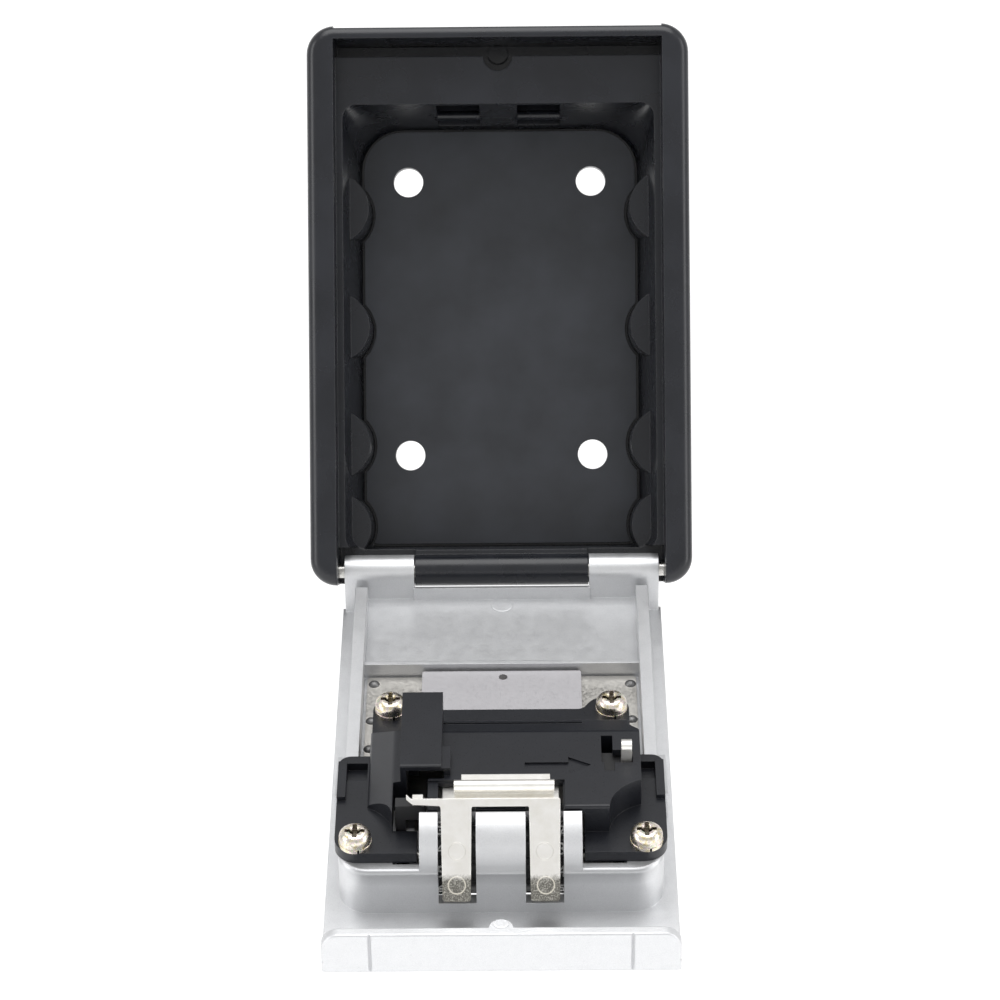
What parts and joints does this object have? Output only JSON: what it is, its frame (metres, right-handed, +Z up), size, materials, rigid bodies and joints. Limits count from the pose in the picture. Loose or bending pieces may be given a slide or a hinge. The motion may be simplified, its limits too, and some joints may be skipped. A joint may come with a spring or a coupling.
{
  "type": "key lock box",
  "caption": "Wall-mounted key safe with a drop-down door, dial wheels, a sprung latch fork, a sliding dust cover and a code reset lever.",
  "frame": {"origin": "centre of the four wall-screw holes, on the plane of the wall", "axes": "front faces -Y, +Y goes into the wall, +Z up, +X to the right seen from the front"},
  "size_m": [0.08, 0.1182, 0.188],
  "materials": {
    "housing_black": "matte black powder coat, faintly cool",
    "liner_black": "matte black coated sheet",
    "door_silver": "fine-grained silver paint on a die casting",
    "pin_steel": "bright drawn steel",
    "plate_nickel": "nickel-plated sheet steel, cloudy",
    "slide_plate_grey": "plain matte sheet",
    "rivet_zinc": "peened zinc, dark",
    "screw_zinc": "yellow zinc plate with a faint rainbow tint",
    "spring_steel": "blued spring steel",
    "latch_nickel": "bright cast nickel, worn dark at the tips",
    "cover_black": "satin black moulded plastic",
    "lever_black": "satin black moulded plastic",
    "dust_cover_black": "satin black moulded plastic",
    "wheel_black": "black moulded plastic with pale numbers",
    "hub_zinc": "zinc die casting"
  },
  "bodies": {
    "housing": {"housing": "housing_black", "back_liner": "liner_black", "hinge_pin_left": "pin_steel", "hinge_pin_right": "pin_steel"},
    "door": {"door_shell": "door_silver", "guide_plate": "plate_nickel", "guide_plate_rivets": "rivet_zinc", "dial_bezel": "cover_black", "mechanism_cover": "cover_black", "cover_screws": "screw_zinc", "lock_washers": "screw_zinc", "spindle": "pin_steel", "detent_spring": "spring_steel", "latch_springs": "spring_steel"},
    "dust_cover": {"dust_cover": "dust_cover_black", "cover_slide_plate": "slide_plate_grey", "cover_slide_rivets": "rivet_zinc"},
    "latch": {"latch_fork": "latch_nickel"},
    "lever": {"opening_lever": "lever_black"},
    "reset": {"reset_lever": "latch_nickel", "reset_carriage": "lever_black"},
    "wheel_1": {"digit_wheel_1": "wheel_black"},
    "hub_1": {"clutch_hub_1": "hub_zinc"},
    "wheel_2": {"digit_wheel_2": "wheel_black"},
    "hub_2": {"clutch_hub_2": "hub_zinc"},
    "wheel_3": {"digit_wheel_3": "wheel_black"},
    "hub_3": {"clutch_hub_3": "hub_zinc"},
    "wheel_4": {"digit_wheel_4": "wheel_black"},
    "hub_4": {"clutch_hub_4": "hub_zinc"}
  },
  "joints": [
    {"name": "door_hinge", "type": "hinge", "parent": "housing", "child": "door", "pos_m": [0, -0.029, -0.0547], "axis": [1, 0, 0], "range_deg": [-126, 0]},
    {"name": "dust_cover_slide", "type": "slide", "parent": "door", "child": "dust_cover", "axis": [0, -0.809, -0.5878], "range_m": [0, 0.0203]},
    {"name": "latch_slide", "type": "slide", "parent": "door", "child": "latch", "axis": [0, 0.809, 0.5878], "range_m": [0, 0.0052], "stiffness_N_per_m": 150, "springref_m": -0.006, "deforming": ["latch_springs"]},
    {"name": "lever_press", "type": "slide", "parent": "door", "child": "lever", "axis": [0, 0.809, 0.5878], "range_m": [0, 0.0052], "stiffness_N_per_m": 20, "springref_m": -0.004},
    {"name": "reset_shift", "type": "slide", "parent": "door", "child": "reset", "axis": [-1, 0, 0], "range_m": [0, 0.0034]},
    {"name": "wheel_1_spin", "type": "hinge", "parent": "door", "child": "wheel_1", "pos_m": [0, -0.09822, -0.10845], "axis": [1, 0, 0], "continuous": true},
    {"name": "wheel_2_spin", "type": "hinge", "parent": "door", "child": "wheel_2", "pos_m": [0, -0.09822, -0.10845], "axis": [1, 0, 0], "continuous": true},
    {"name": "wheel_3_spin", "type": "hinge", "parent": "door", "child": "wheel_3", "pos_m": [0, -0.09822, -0.10845], "axis": [1, 0, 0], "continuous": true},
    {"name": "wheel_4_spin", "type": "hinge", "parent": "door", "child": "wheel_4", "pos_m": [0, -0.09822, -0.10845], "axis": [1, 0, 0], "continuous": true},
    {"name": "hub_1_shift", "type": "slide", "parent": "wheel_1", "child": "hub_1", "axis": [-1, 0, 0], "range_m": [0, 0.001]},
    {"name": "hub_2_shift", "type": "slide", "parent": "wheel_2", "child": "hub_2", "axis": [-1, 0, 0], "range_m": [0, 0.001]},
    {"name": "hub_3_shift", "type": "slide", "parent": "wheel_3", "child": "hub_3", "axis": [-1, 0, 0], "range_m": [0, 0.001]},
    {"name": "hub_4_shift", "type": "slide", "parent": "wheel_4", "child": "hub_4", "axis": [-1, 0, 0], "range_m": [0, 0.001]}
  ],
  "couplings": [
    {"joint": "lever_press", "follows": "latch_slide", "ratio": 1},
    {"joint": "hub_1_shift", "follows": "reset_shift", "ratio": 0.29},
    {"joint": "hub_2_shift", "follows": "reset_shift", "ratio": 0.29},
    {"joint": "hub_3_shift", "follows": "reset_shift", "ratio": 0.29},
    {"joint": "hub_4_shift", "follows": "reset_shift", "ratio": 0.29}
  ]
}
